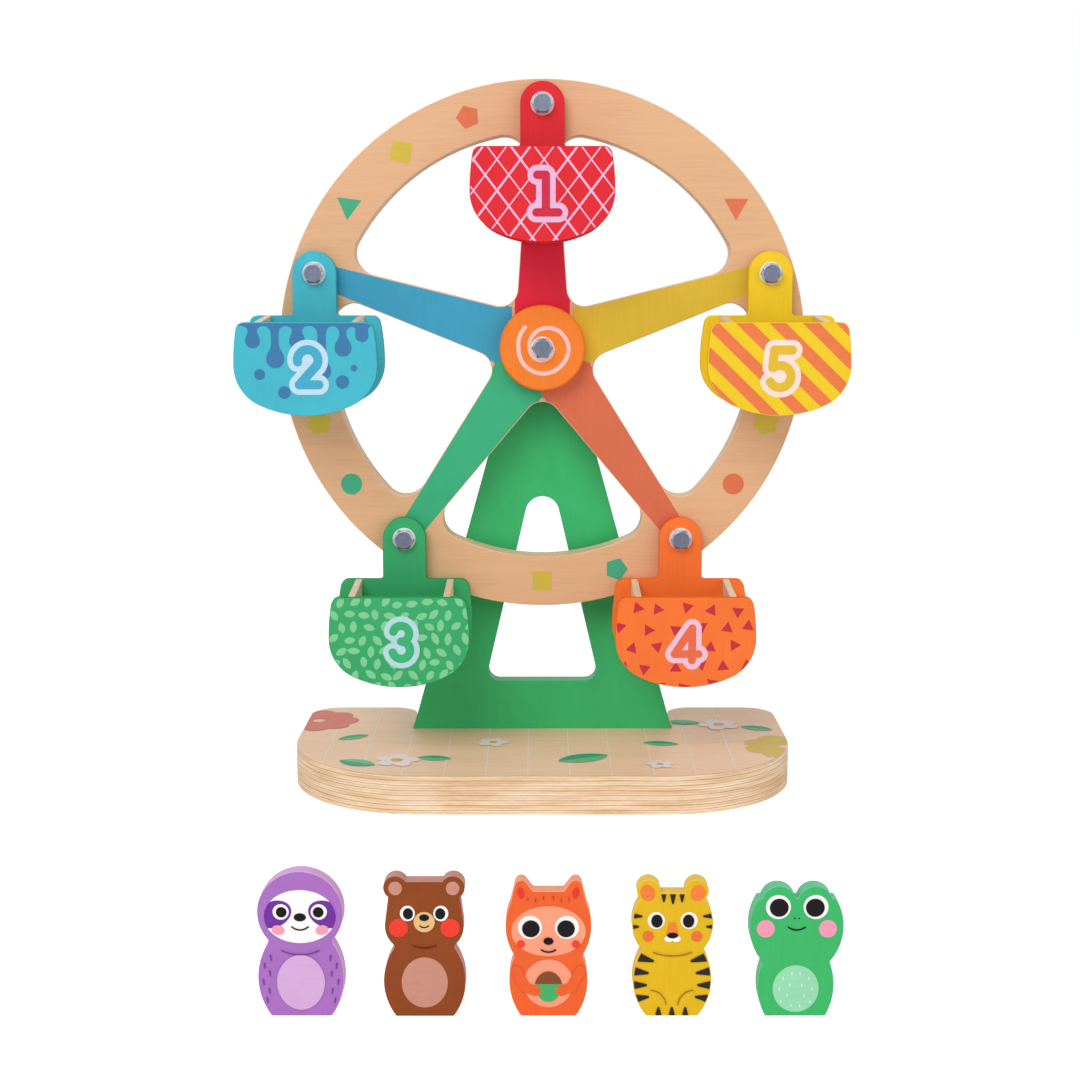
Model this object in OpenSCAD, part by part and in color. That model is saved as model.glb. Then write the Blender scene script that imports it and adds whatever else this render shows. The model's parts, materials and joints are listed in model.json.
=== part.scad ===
// A toy Ferris wheel cut from plywood. A wheel with five spokes turns by hand on a bolt through an A-shaped
// stand. Five numbered baskets hang from bolts on its rim, and five animal figures ride in them.
// Millimetres. +X is to the viewer's right, +Y to the rear, +Z up. The origin is on the floor under the
// middle of the base, in the plane of the wheel's front face.

/* [Wheel] */
// Outside diameter of the wheel
wheel_d = 260; // [240:1:300]
// Thickness of the wheel
wheel_t = 15; // [12:0.5:20]
// Width of the rim outside the windows
rim_w = 25; // [22:0.5:30]
// Width of a spoke, drawn on to the wheel's centre
spoke_hub_w = 28.4; // [24:0.1:32]
// Width of a spoke where it meets the rim
spoke_rim_w = 13.5; // [11:0.1:17]
// Fillet of a window at the hub
window_hub_r = 9; // [6:0.5:11]
// Fillet of a window at the rim
window_rim_r = 11; // [7:0.5:13]
// Diameter of the disc glued on the hub
hub_cap_d = 42; // [34:0.5:48]
// Thickness of the disc
hub_cap_t = 10; // [6:0.5:14]
// Rounding of the disc's front edge
hub_cap_edge_r = 1.5; // [0.5:0.1:3]

/* [Base and stand] */
// Width of the base
base_w = 250; // [225:1:280]
// Depth of the base, front to rear
base_d = 132; // [124:1:160]
// Thickness of the base
base_t = 19; // [15:0.5:24]
// Corner radius at the front of the base
base_front_r = 66; // [40:1:66]
// Corner radius at the outer rear of the base
base_rear_r = 15.5; // [8:0.5:20]
// Radius of the rear corners beside the stand's notch
base_notch_r = 13; // [6:0.5:16]
// Thickness of the stand
stand_t = 10; // [8:0.5:14]
// Width of the stand's foot
stand_foot_w = 135; // [120:1:145]
// Radius of the stand's top about the axle
stand_top_r = 11.8; // [10.5:0.1:15]
// Height of the arch's sill above the base
arch_sill_h = 25.5; // [18:0.5:40]
// Distance from the axle down to the arch's top
arch_drop = 77; // [60:1:95]
// Radius of the arch's top
arch_top_r = 8.7; // [6:0.1:11]
// Width of the arch at its sill
arch_foot_w = 56; // [46:0.5:64]
// Corner radius of the arch at its sill
arch_corner_r = 6; // [3:0.5:9]
// Room between the wheel and the stand
wheel_gap = 6; // [4:0.5:10]

/* [Baskets] */
// Greatest width of a basket
basket_w = 67.8; // [60:0.1:74]
// Width of a front panel at its top edge, before its corners are rounded
basket_top_w = 63.8; // [56:0.1:67]
// Distance from a pivot down to the bottom of its basket
basket_drop = 67; // [63:0.5:74]
// Height from a basket's bottom to its widest level
basket_bowl_h = 23.5; // [22:0.5:27]
// Radius of the basket's lower corners
basket_bowl_r = 20.5; // [16:0.5:21.5]
// Radius of the top corners of the panels
basket_top_r = 4; // [2:0.5:6]
// Height of the front panel
front_h = 44; // [41:0.5:47]
// Distance from a pivot down to the shoulders of the back panel
shoulder_drop = 20.5; // [17:0.5:22]
// Width of the hanger
hanger_w = 21.5; // [18:0.5:26]
// Fillet between the hanger and the shoulders
hanger_fillet_r = 2; // [1:0.5:4]
// Thickness of the panels
panel_t = 5; // [4:0.5:7]
// Room inside a basket between its panels
basket_gap = 32; // [24:0.5:40]
// Room inside a basket between its side slats
slat_gap = 42.4; // [34:0.2:45]
// Thickness of the side slats
slat_t = 3.4; // [2.5:0.1:4]
// Thickness of the floor slat
floor_t = 4; // [3:0.2:6]
// Height of the floor slat above the basket's bottom
floor_lift = 10; // [9:0.5:13]
// Depth of the grooves that the slats are glued into
groove_depth = 1.5; // [1:0.1:2.5]
// Room between the lowest basket and the base as it passes
basket_clear = 15; // [8:0.5:25]

/* [Fasteners] */
// Diameter of the axle bolt
axle_d = 6; // [5:0.5:8]
// Diameter of the pivot bolts
pivot_d = 6; // [5:0.5:6.5]
// Width across flats of the bolt heads and the nut
hex_w = 9.4; // [8.6:0.1:11]
// Diameter of the flange round the foot of the bolt heads and the nut
flange_d = 11.5; // [11:0.1:13.8]
// Diameter of the top of that flange's slope
flange_top_d = 9.8; // [9:0.1:10.6]
// Height of that flange
flange_h = 1.8; // [1.2:0.1:2.4]
// Height of the bolt heads
head_h = 4; // [3:0.5:5]
// Diameter of the flat on a bolt head
head_flat_d = 8.4; // [7:0.2:9.4]
// Depth of the bevel round a bolt head
head_bevel_h = 1.4; // [1:0.1:2]
// Height of the lock nut's hexagon
nut_h = 5; // [4:0.5:7]
// Height of the lock nut's round collar
nut_collar_h = 1.5; // [1:0.1:2.5]
// Outside diameter of the spacer bush
bush_d = 16; // [12:0.5:20]
// Diameter of the washers at the pivots
pivot_washer_d = 14; // [11:0.5:16]
// Diameter of the washer behind the stand
axle_washer_d = 18; // [14:0.5:20]
// Thickness of the washers
washer_t = 1.5; // [1:0.1:2]
// Outside diameter of a tee nut's barrel
tee_d = 8; // [7.6:0.1:9]
// Length of a tee nut's barrel
tee_len = 9; // [6:0.5:11]
// Diameter of a tee nut's flange
tee_flange_d = 16; // [13:0.5:19]
// Thickness of a tee nut's flange
tee_flange_t = 1.2; // [1:0.1:1.8]
// Diameter of the stand's screws
screw_d = 4.5; // [3.5:0.1:5.5]
// Length of the stand's screws
screw_len = 38; // [28:1:46]
// Diameter of the screws' countersunk heads
screw_head_d = 9; // [8:0.2:11]
// Distance between the stand's two screws
screw_pitch = 90; // [70:1:105]

/* [Figures] */
// Height of the tallest figure
figure_h = 51.6; // [42:0.2:60]
// Thickness of the figures
figure_t = 6; // [5:0.5:14]
// Fillet at a figure's neck
figure_neck_r = 1.2; // [0.5:0.1:2.5]
// Distance between the figures in their row
figure_pitch = 42.4; // [36:0.2:50]
// Shift of the row to the viewer's right
figure_row_x = 2; // [-10:1:10]
// Distance of the row's front in front of the wheel
figure_row_y = 290; // [150:1:320]

/* [Fits] */
// Radial clearance of a bolt in a piece that turns on it
turn_fit = 0.06; // [0.02:0.01:0.1]
// Clearance between faces that slide past each other
face_fit = 0.15; // [0.1:0.05:0.4]
// Clearance round the stand's foot in its notch
stand_fit = 0.3; // [0.1:0.1:1]
// Clearance round a slat in its groove
glue_fit = 0.1; // [0:0.05:0.3]

/* [Hidden] */
$fn = 96;
COUNT = 5;
BASKETS = [1:COUNT];
FIGURE_NAMES = ["sloth", "bear", "squirrel", "tiger", "frog"];

// Paint of the baskets and of the figures, in the order of their numbers
BASKET_COLOURS = ["crimson", "mediumturquoise", "mediumseagreen", "darkorange", "gold"];
FIGURE_COLOURS = ["mediumpurple", "saddlebrown", "darkorange", "goldenrod", "mediumseagreen"];

// A cut runs this far past the face that it opens
cut = 1;
// A straight edge ends this far inside the circle that it runs into, so that the two outlines cross cleanly
lap = 0.002;

// Wheel
rim_in_r = wheel_d / 2 - rim_w;
pivot_r = wheel_d / 2 - rim_w / 2;
axle_z = base_t + basket_clear + basket_drop + pivot_r;
step = 360 / COUNT;
spoke_lean = atan((spoke_hub_w - spoke_rim_w) / 2 / rim_in_r);
window_half = step / 2 + spoke_lean;
window_apex = spoke_hub_w / 2 * cos(spoke_lean) / sin(window_half);

// Places along Y, from the rear to the front
nut_y = wheel_t + wheel_gap + stand_t + washer_t;
stand_y = wheel_t + wheel_gap;
back_y = -washer_t - 2 * face_fit;
front_y = back_y - panel_t - basket_gap;

// Basket outline, with the pivot at its origin
bowl_y = basket_bowl_h - basket_drop;
front_top = front_h - basket_drop;
bowl_corner = [basket_w / 2 - basket_bowl_r, bowl_y];
bowl_in_r = basket_bowl_r - lap;
bowl_r = (bowl_corner.x ^ 2 + basket_bowl_h ^ 2 - bowl_in_r ^ 2) / 2 / (basket_bowl_h - bowl_in_r);
bowl_centre = [0, bowl_r - basket_drop];
side_inset = (basket_w - basket_top_w) / 2;
side_r = ((front_top - bowl_y) ^ 2 + side_inset ^ 2) / 2 / side_inset;
side_centre = [basket_w / 2 - side_r, bowl_y];
floor_y = floor_lift - basket_drop;
slat_len = basket_gap + 2 * groove_depth;
slat_y = back_y - panel_t + groove_depth;

// Figure outlines, drawn at one height and then scaled
FIGURE_DRAWN_H = 51.6;
figure_scale = figure_h / FIGURE_DRAWN_H;
// Each body's greatest width, the width of its foot and the height of its widest level
BODIES = figure_scale * [[29.5, 20.6, 13.7], [28, 19.7, 12.5], [26.9, 19, 12.8], [27, 17.6, 13],
    [26.2, 20.6, 11]];
// The right-hand arc of each head: the X and height of its centre, its radius, and the height of a flat top
HEADS = figure_scale * [[0, 36.9, 14.7, 52], [4.6, 32.2, 8.9, 41.1], [-5.5, 32.2, 20.2, 44.6],
    [-0.7, 33, 14.6, 44], [-3.3, 31.9, 19.4, 42]];
// The arc of a brow above the cheeks, and of the right ear: the X and height of the centre, and the radius
BROWS = figure_scale * [[0, 0, 0], [6, 41.6, 6.3], [0, 0, 0], [0, 0, 0], [0, 0, 0]];
EARS = figure_scale * [[0, 0, 0], [9.8, 45.8, 4.1], [9.3, 46.4, 2.2], [8.2, 44.6, 4.1], [6.2, 40.4, 6]];
// The root of a pointed ear: its reach inwards and outwards, and its depth below the tip
EAR_ROOTS = figure_scale * [[0, 0, 0], [0, 0, 0], [9.5, 4.4, 9], [0, 0, 0], [0, 0, 0]];

function polar(r, a) = r * [cos(a), sin(a)];
function unit(v) = v / norm(v);
function flip(p) = [-p.x, p.y];

// The unit normal, on the right, of the line that touches two circles, the second one lower or further out
function tangent_normal(c1, r1, c2, r2) =
    let (d = c2 - c1) polar(1, atan2(d.y, d.x) + acos((r1 - r2) / norm(d)));

// The right-hand point where two circles meet, the first one higher
function circles_meet(c1, r1, c2, r2) =
    let (d = c2 - c1, a = acos((r1 ^ 2 + d * d - r2 ^ 2) / 2 / r1 / norm(d)))
    c1 + polar(r1, atan2(d.y, d.x) + a);

function pivot_place(i) = polar(pivot_r, 90 + step * (i - 1));

// Stands a flat outline up, with its rear face at y and its thickness towards the viewer
module upright(y, thick) translate([0, y, 0]) rotate([90, 0, 0]) linear_extrude(thick) children();

module at_axle() translate([0, 0, axle_z]) children();

module at_pivot(i) at_axle() translate([pivot_place(i).x, 0, pivot_place(i).y]) children();

// Draws the same round shape at a place on the right and at its mirror image on the left
module at_both(p) {
    translate(p) children();
    translate(flip(p)) children();
}

// One window of the wheel, about the X axis: two straight spoke edges and the rim's inner edge, all filleted
module window() {
    edge = [-sin(window_half), cos(window_half)];
    hub_centre = [window_apex + window_hub_r / sin(window_half), 0];
    start = window_apex + window_rim_r / sin(window_half);
    reach = rim_in_r + lap - window_rim_r;
    run = sqrt(reach ^ 2 - (start * sin(window_half)) ^ 2) - start * cos(window_half);
    rim_centre = [start, 0] + polar(run, window_half);
    outside = 2 * rim_in_r;
    half = [hub_centre + (window_hub_r - lap) * edge, rim_centre + (window_rim_r - lap) * edge, rim_centre,
        outside * unit(rim_centre)];
    intersection() {
        circle(rim_in_r);
        polygon(concat([hub_centre], half, [for (k = [3:-1:0]) [half[k].x, -half[k].y]]));
    }
    translate(hub_centre) circle(window_hub_r);
    for (side = [-1, 1]) translate([rim_centre.x, side * rim_centre.y]) circle(window_rim_r);
}

module wheel() color("burlywood") at_axle() upright(wheel_t, wheel_t) difference() {
    circle(d = wheel_d);
    for (i = BASKETS) rotate(90 + step * (i - 0.5)) window();
    circle(axle_d / 2 + turn_fit);
    for (i = BASKETS) translate(pivot_place(i)) circle(d = tee_d);
}

// The hub's disc, turned about its axle from a profile with one rounded corner
module hub_cap() color("darkorange") at_axle() rotate([90, 0, 0]) rotate_extrude() {
    bore_r = axle_d / 2 + turn_fit;
    corner = [hub_cap_d / 2 - hub_cap_edge_r, hub_cap_t - hub_cap_edge_r];
    translate([bore_r, 0]) square([corner.x - bore_r, hub_cap_t]);
    translate([bore_r, 0]) square([hub_cap_d / 2 - bore_r, corner.y]);
    translate(corner) circle(hub_cap_edge_r);
}

// A hexagon bolt along Y: its head's underside is at y, its head points to the viewer, its end is at y_end
module hex_bolt(d, y, y_end) {
    upright(y_end, y_end - y) circle(d = d);
    translate([0, y, 0]) rotate([90, 0, 0]) hex_head(head_h);
}

// A hexagon head on the XY plane, with points to left and right, a sloping flange and a bevelled flat top
module hex_head(h) {
    cylinder(h = flange_h, d1 = flange_d, d2 = flange_top_d);
    intersection() {
        cylinder(h = h, d = hex_w / cos(30), $fn = 6);
        union() {
            cylinder(h = h - head_bevel_h, d = flange_d);
            translate([0, 0, h - head_bevel_h]) cylinder(h = head_bevel_h, d1 = flange_d, d2 = head_flat_d);
        }
    }
}

module pivot_bolts() color("silver") for (i = BASKETS)
    at_pivot(i) hex_bolt(pivot_d, back_y - panel_t - face_fit, wheel_t + tee_flange_t);

module pivot_tee_nuts() color("silver") for (i = BASKETS) at_pivot(i) difference() {
    union() {
        upright(wheel_t, tee_len) circle(d = tee_d);
        upright(wheel_t + tee_flange_t, tee_flange_t) circle(d = tee_flange_d);
    }
    upright(wheel_t + tee_flange_t + cut, tee_len + tee_flange_t + 2 * cut) circle(d = pivot_d);
}

module pivot_washer(i) color("gainsboro") at_pivot(i) upright(-face_fit, washer_t) difference() {
    circle(d = pivot_washer_d);
    circle(pivot_d / 2 + turn_fit);
}

// The basket's outline up to a flat top edge: a bowl of three arcs, bowed sides and rounded top corners
module basket_outline(top) {
    corner_y = top - basket_top_r;
    corner_x = side_centre.x + sqrt((side_r - basket_top_r) ^ 2 - (corner_y - bowl_y) ^ 2);
    corner = [corner_x, corner_y];
    outside = side_centre + (side_r + basket_top_r) * unit(corner - side_centre);
    side = [[basket_w / 2 + basket_top_r, bowl_y], outside, corner, [corner.x, top - lap]];
    intersection() {
        translate(side_centre) circle(side_r - lap);
        translate(flip(side_centre)) circle(side_r - lap);
        polygon(concat(side, [for (k = [3:-1:0]) flip(side[k])]));
    }
    at_both(corner) circle(basket_top_r);
    bowl_outline();
}

// The lower part of a basket, under its widest level: a flat arc between two tighter ones
module bowl_outline() intersection() {
    reach = bowl_centre + 2 * bowl_r * unit(bowl_corner - bowl_centre);
    union() {
        at_both(bowl_corner) circle(basket_bowl_r);
        intersection() {
            translate(bowl_centre) circle(bowl_r);
            polygon([bowl_centre, reach, [0, reach.y - bowl_r], flip(reach)]);
        }
    }
    translate([-basket_w, bowl_y - basket_w]) square([2 * basket_w, basket_w + basket_top_r]);
}

// The hanger rises from the shoulders to a round end about the pivot
module hanger_outline() {
    circle(d = hanger_w);
    root = shoulder_drop + hanger_fillet_r;
    translate([-hanger_w / 2, -root]) square([hanger_w, root]);
    flare_x = hanger_w / 2 + hanger_fillet_r;
    difference() {
        translate([-flare_x, -shoulder_drop - cut]) square([2 * flare_x, hanger_fillet_r + cut]);
        at_both([flare_x, hanger_fillet_r - shoulder_drop]) circle(hanger_fillet_r + lap);
    }
}

module floor_outline(room) translate([-slat_gap / 2, floor_y - room]) square([slat_gap, floor_t + 2 * room]);

// The grooves in a panel that hold the ends of the slats, open at the panel's top
module grooves(y, top) upright(y, groove_depth) {
    floor_outline(glue_fit);
    at_both([(slat_gap + slat_t) / 2, floor_y - glue_fit])
        translate([-slat_t / 2 - glue_fit, 0]) square([slat_t + 2 * glue_fit, top + cut - floor_y]);
}

// A side slat, whose top falls from the shoulders of the back panel to the top of the front panel
module slat(side) translate([side * (slat_gap + slat_t) / 2, slat_y, 0]) rotate([90, 0, -90])
    translate([0, 0, -slat_t / 2]) linear_extrude(slat_t)
        polygon([[0, floor_y], [slat_len, floor_y], [slat_len, front_top], [0, -shoulder_drop]]);

module gondola_back(i) color(BASKET_COLOURS[i - 1]) at_pivot(i) difference() {
    upright(back_y, panel_t) difference() {
        union() {
            basket_outline(-shoulder_drop);
            hanger_outline();
        }
        circle(pivot_d / 2 + turn_fit);
    }
    grooves(slat_y, -shoulder_drop);
}

module gondola_front(i) color(BASKET_COLOURS[i - 1]) at_pivot(i) difference() {
    upright(front_y, panel_t) basket_outline(front_top);
    grooves(front_y, front_top);
}

module gondola_left_slat(i) color("wheat") at_pivot(i) slat(-1);

module gondola_right_slat(i) color("wheat") at_pivot(i) slat(1);

module gondola_floor(i) color("wheat") at_pivot(i) upright(slat_y, slat_len) floor_outline(0);

module axle_bolt() color("silver") at_axle()
    hex_bolt(axle_d, -hub_cap_t - face_fit, nut_y + nut_h + nut_collar_h);

module axle_bush() color("gainsboro") at_axle() upright(stand_y, wheel_gap - face_fit) difference() {
    circle(d = bush_d);
    circle(d = axle_d);
}

module axle_washer() color("gainsboro") at_axle() upright(nut_y, washer_t) difference() {
    circle(d = axle_washer_d);
    circle(d = axle_d);
}

module axle_nut() color("silver") at_axle() translate([0, nut_y, 0]) rotate([-90, 0, 0]) difference() {
    union() {
        hex_head(nut_h);
        cylinder(h = nut_h + nut_collar_h, d = head_flat_d);
    }
    translate([0, 0, -cut]) cylinder(h = nut_h + nut_collar_h + 2 * cut, d = axle_d);
}

// The stand's outline from the floor up: a straight foot, then sides that touch the round top
module stand_outline() {
    axle = [0, axle_z];
    foot = [stand_foot_w / 2, base_t];
    shoulder = axle + (stand_top_r - lap) * tangent_normal(axle, stand_top_r, foot, 0);
    half = [[foot.x, 0], foot, shoulder];
    polygon(concat(half, [axle], [for (k = [2:-1:0]) flip(half[k])]));
    translate(axle) circle(stand_top_r);
}

// The arch through the stand, narrow and round at its top and wide at its sill
module arch_outline() {
    top = [0, axle_z - arch_drop - arch_top_r];
    corner = [arch_foot_w / 2 - arch_corner_r, base_t + arch_sill_h + arch_corner_r];
    side = tangent_normal(top, arch_top_r, corner, arch_corner_r);
    sill = corner - [0, arch_corner_r - lap];
    half = [top + (arch_top_r - lap) * side, corner + (arch_corner_r - lap) * side, corner, sill];
    polygon(concat([top], half, [for (k = [3:-1:0]) flip(half[k])]));
    translate(top) circle(arch_top_r);
    at_both(corner) circle(arch_corner_r);
}

module at_screws() for (x = [-screw_pitch / 2, screw_pitch / 2]) translate([x, stand_y + stand_t, base_t / 2])
    rotate([90, 0, 0]) children();

// A countersunk screw that points towards the viewer, with its head flush at the XY plane
module screw() {
    cylinder(h = (screw_head_d - screw_d) / 2, d1 = screw_head_d, d2 = screw_d);
    cylinder(h = screw_len, d = screw_d);
}

module stand_panel() color("mediumseagreen") difference() {
    upright(stand_y + stand_t, stand_t) difference() {
        stand_outline();
        arch_outline();
        translate([0, axle_z]) circle(d = axle_d);
    }
    at_screws() screw();
}

module stand_screws() color("silver") at_screws() screw();

// The base from above: wide round corners at its front, tighter ones at its rear and the stand's open notch
module base_outline() difference() {
    front = [base_w / 2 - base_front_r, base_front_r - base_d / 2];
    rear = [base_w / 2 - base_rear_r, base_d / 2 - base_rear_r];
    union() {
        intersection() {
            at_both(front) circle(base_front_r);
            translate([-base_w / 2, -base_d / 2]) square([base_w, base_d - base_rear_r]);
        }
        translate([-front.x, -base_d / 2]) square([2 * front.x, base_d - base_rear_r]);
        translate([-base_w / 2, front.y]) square([base_w, rear.y - front.y]);
        at_both(rear) circle(base_rear_r);
        translate([-rear.x, front.y]) square([2 * rear.x, base_d / 2 - front.y]);
    }
    notch_x = stand_foot_w / 2 + stand_fit;
    translate([-notch_x, stand_y]) square([2 * notch_x, base_d]);
    mouth = [notch_x + base_notch_r, base_d / 2 - base_notch_r];
    difference() {
        translate([-mouth.x, mouth.y]) square([2 * mouth.x, base_d]);
        at_both(mouth) circle(base_notch_r);
    }
}

module base_plate() color("tan") difference() {
    linear_extrude(base_t) base_outline();
    at_screws() screw();
}

// A figure's body: two bowed sides on a flat foot, cut off inside the head
module body_outline(side, r, w, top) intersection() {
    translate(side) circle(r);
    translate(flip(side)) circle(r);
    translate([-w, 0]) square([2 * w, top]);
}

// A figure's head: two round cheeks, or bowed sides under a flat top where the arcs' centres cross the middle
module head_outline(side, r, top) {
    if (side.x > 0) {
        at_both(side) circle(r);
        translate([-side.x, side.y - r]) square([2 * side.x, 2 * r]);
    } else {
        intersection() {
            translate(side) circle(r);
            translate(flip(side)) circle(r);
            translate([-2 * r, 0]) square([4 * r, top]);
        }
    }
}

// A brow above the cheeks, with straight sides down to them
module brow_outline(brow, r, cheek, cheek_r) {
    out = tangent_normal(brow, r, cheek, cheek_r);
    half = [cheek, cheek + (cheek_r - lap) * out, brow + (r - lap) * out, brow + [0, r - lap]];
    at_both(brow) circle(r);
    polygon(concat(half, [for (k = [3:-1:0]) flip(half[k])]));
}

// A figure's ears, round or running up to small round tips
module ears(centre, r, root) {
    at_both(centre) circle(r);
    if (root.x > 0) {
        inner = centre - [root.x, root.z];
        outer = centre + [root.y, -root.z];
        right = tangent_normal(centre, r, outer, 0);
        left = flip(tangent_normal(flip(centre), r, flip(inner), 0));
        ear = [inner, outer, centre + (r - lap) * right, centre + (r - lap) * left];
        polygon(ear);
        polygon([for (k = [3:-1:0]) flip(ear[k])]);
    }
}

// The fillets at a figure's neck, between the arc of the head and the arc of the body
module neck_outline(head, head_r, body, body_r) {
    neck = circles_meet(head, head_r + figure_neck_r, body, body_r + figure_neck_r);
    difference() {
        union() {
            polygon([head, body, neck]);
            polygon([flip(head), flip(neck), flip(body)]);
        }
        at_both(neck) circle(figure_neck_r + lap);
    }
}

module figure_outline(k) {
    w = BODIES[k][0];
    inset = (w - BODIES[k][1]) / 2;
    waist = BODIES[k][2];
    body_r = (waist ^ 2 + inset ^ 2) / 2 / inset;
    body = [w / 2 - body_r, waist];
    head = [HEADS[k][0], HEADS[k][1]];
    head_r = HEADS[k][2];
    brow = [BROWS[k][0], BROWS[k][1]];
    ear = [EARS[k][0], EARS[k][1]];
    body_outline(body, body_r, w, head.y);
    head_outline(head, head_r, HEADS[k][3]);
    neck_outline(head, head_r, body, body_r);
    if (brow.x > 0) brow_outline(brow, BROWS[k][2], head, head_r);
    if (ear.x > 0) ears(ear, EARS[k][2], EAR_ROOTS[k]);
}

module figure(k) {
    x = figure_row_x + figure_pitch * (k - (COUNT - 1) / 2);
    color(FIGURE_COLOURS[k]) translate([x, figure_t - figure_row_y, 0])
        upright(0, figure_t) figure_outline(k);
}

base_plate();
stand_panel();
stand_screws();
axle_bolt();
axle_bush();
axle_washer();
axle_nut();
wheel();
hub_cap();
pivot_bolts();
pivot_tee_nuts();
for (i = BASKETS) {
    pivot_washer(i);
    gondola_back(i);
    gondola_front(i);
    gondola_left_slat(i);
    gondola_right_slat(i);
    gondola_floor(i);
}
for (k = [0:COUNT - 1]) {
    figure(k);
}
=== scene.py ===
import json
import math
import random

import bmesh
import bpy
import numpy as np
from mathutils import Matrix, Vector


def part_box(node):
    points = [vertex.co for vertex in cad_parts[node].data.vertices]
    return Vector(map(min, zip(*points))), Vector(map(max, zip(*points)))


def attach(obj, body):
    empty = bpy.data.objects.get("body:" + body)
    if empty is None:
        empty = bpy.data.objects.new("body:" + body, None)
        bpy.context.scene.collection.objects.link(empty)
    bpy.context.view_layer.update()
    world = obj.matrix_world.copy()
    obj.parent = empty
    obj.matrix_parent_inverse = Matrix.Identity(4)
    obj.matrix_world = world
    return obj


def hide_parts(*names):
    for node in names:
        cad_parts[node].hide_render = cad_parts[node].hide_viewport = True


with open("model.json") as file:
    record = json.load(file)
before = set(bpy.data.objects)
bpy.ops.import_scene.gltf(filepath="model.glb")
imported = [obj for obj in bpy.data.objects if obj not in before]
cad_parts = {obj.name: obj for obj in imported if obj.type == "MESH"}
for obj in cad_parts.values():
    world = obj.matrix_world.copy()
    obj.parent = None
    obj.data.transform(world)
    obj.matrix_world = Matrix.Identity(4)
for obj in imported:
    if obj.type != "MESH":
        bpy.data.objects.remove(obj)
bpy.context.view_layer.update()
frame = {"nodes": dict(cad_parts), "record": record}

# Sizes in millimetres
MM = 0.001
COUNT = 5
BASKETS = range(1, COUNT + 1)


def corners(node):
    """The low and the high corner of a node's box."""
    low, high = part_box(node)
    return [v / MM for v in low], [v / MM for v in high]


def frame_slot(node):
    """The record's material slot of a node."""
    return next(s["material_slot"] for s in frame["record"]["subparts"] if s["node"] == node)


WHEEL_LOW, WHEEL_HIGH = corners("wheel")
AXLE_Z = (WHEEL_LOW[2] + WHEEL_HIGH[2]) / 2
WHEEL_R = (WHEEL_HIGH[0] - WHEEL_LOW[0]) / 2
HUB_CAP_R = corners("hub_cap")[1][0]
BASE_TOP = corners("base_plate")[1][2]
RIM_W = 25
RIM_MID_R = WHEEL_R - RIM_W / 2
PIVOT_HOLE_R = 4.2

# A spoke's half width at the axle and what it loses per millimetre outwards, then the fillets between the spokes:
# their radius, and how far their centres are from the axle
SPOKE_HALF_W, SPOKE_TAPER = 14.2, 0.071
FILLET_R, FILLET_AT = 9, 35.99

# Radii of rounded edges
EASE, THIN_EASE, WHEEL_EASE, BOLT_EASE = 0.6, 0.4, 0.35, 0.15

# A layer of ink, the steps of the grids that prints are drawn on, and how far a thinned outline may stray
INK = 0.05
INK_STEP, FIGURE_STEP, WIDE_STEP = 0.2, 0.14, 0.3
INK_TOL = 0.012


# Colours

def rgb(code):
    """A colour written as six hexadecimal digits, as linear red, green, blue and alpha."""
    parts = [int(code[i:i + 2], 16) / 255 for i in (0, 2, 4)]
    return [c / 12.92 if c <= 0.04045 else ((c + 0.055) / 1.055) ** 2.4 for c in parts] + [1]


def shade(code, factor):
    """The same colour, lighter or darker by a factor."""
    return [min(1, c * factor) for c in rgb(code)[:3]] + [1]


BASKET_PAINT = ["DF2530", "45B8CB", "39AA6A", "FC7833", "F2CC22"]
SPOKE_PAINT = ["DE213E", "3D9BBC", "3AAC7B", "D46C4C", "D7B435"]
NUMBER_INK = ["CF2A48", "45AACB", "3DB578", "EE6F4A", "E5BC33"]
NUMBER_EDGE = ["EAB7DA", "C0E0F0", "BADFE4", "F4C5DA", "FAE2D8"]
STAND_PAINT = "3CBA71"
HUB_PAINT = "F5812C"
RIM_WOOD = "E6B488"
BASE_WOOD = "FDD7B6"
EDGE_WOOD = "FFE6C8"
EDGE_LINE = "BC8F60"
SLAT_WOOD = "F3DABA"


# Materials: colours of wood, paint, ink and steel, worked out from noise in the part's own frame

SATIN = 0.2
PLAIN = (1, 1, 1, 1)


def new_material(name):
    """A material, its node tree and its shader."""
    mat = bpy.data.materials.new(name)
    mat.use_nodes = True
    return mat, mat.node_tree, mat.node_tree.nodes["Principled BSDF"]


def feed(tree, socket, value):
    """Links another socket to a socket, or gives it a constant."""
    if hasattr(value, "links"):
        tree.links.new(value, socket)
    else:
        socket.default_value = value


def calc(tree, kind, *values):
    """A calculation on sockets and numbers."""
    out = tree.nodes.new("ShaderNodeMath")
    out.operation = kind
    for socket, value in zip(out.inputs, values):
        feed(tree, socket, value)
    return out.outputs[0]


def span(tree, value, low, high, start=0.0, end=1.0):
    """Maps a value's range from start to end onto the range from low to high."""
    out = tree.nodes.new("ShaderNodeMapRange")
    for name, number in (("From Min", start), ("From Max", end), ("To Min", low), ("To Max", high)):
        out.inputs[name].default_value = number
    tree.links.new(value, out.inputs["Value"])
    return out.outputs["Result"]


def stretched_noise(tree, scale, detail, rough, offset=0.0):
    """Noise in the part's own frame, stretched by a scale along each axis."""
    place = tree.nodes.new("ShaderNodeTexCoord")
    fit = tree.nodes.new("ShaderNodeMapping")
    fit.inputs["Scale"].default_value = scale
    fit.inputs["Location"].default_value = (offset, offset * 1.7, offset * 0.6)
    noise = tree.nodes.new("ShaderNodeTexNoise")
    for name, number in (("Scale", 1), ("Detail", detail), ("Roughness", rough)):
        noise.inputs[name].default_value = number
    tree.links.new(place.outputs["Object"], fit.inputs["Vector"])
    tree.links.new(fit.outputs["Vector"], noise.inputs["Vector"])
    return noise.outputs["Fac"]


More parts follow.
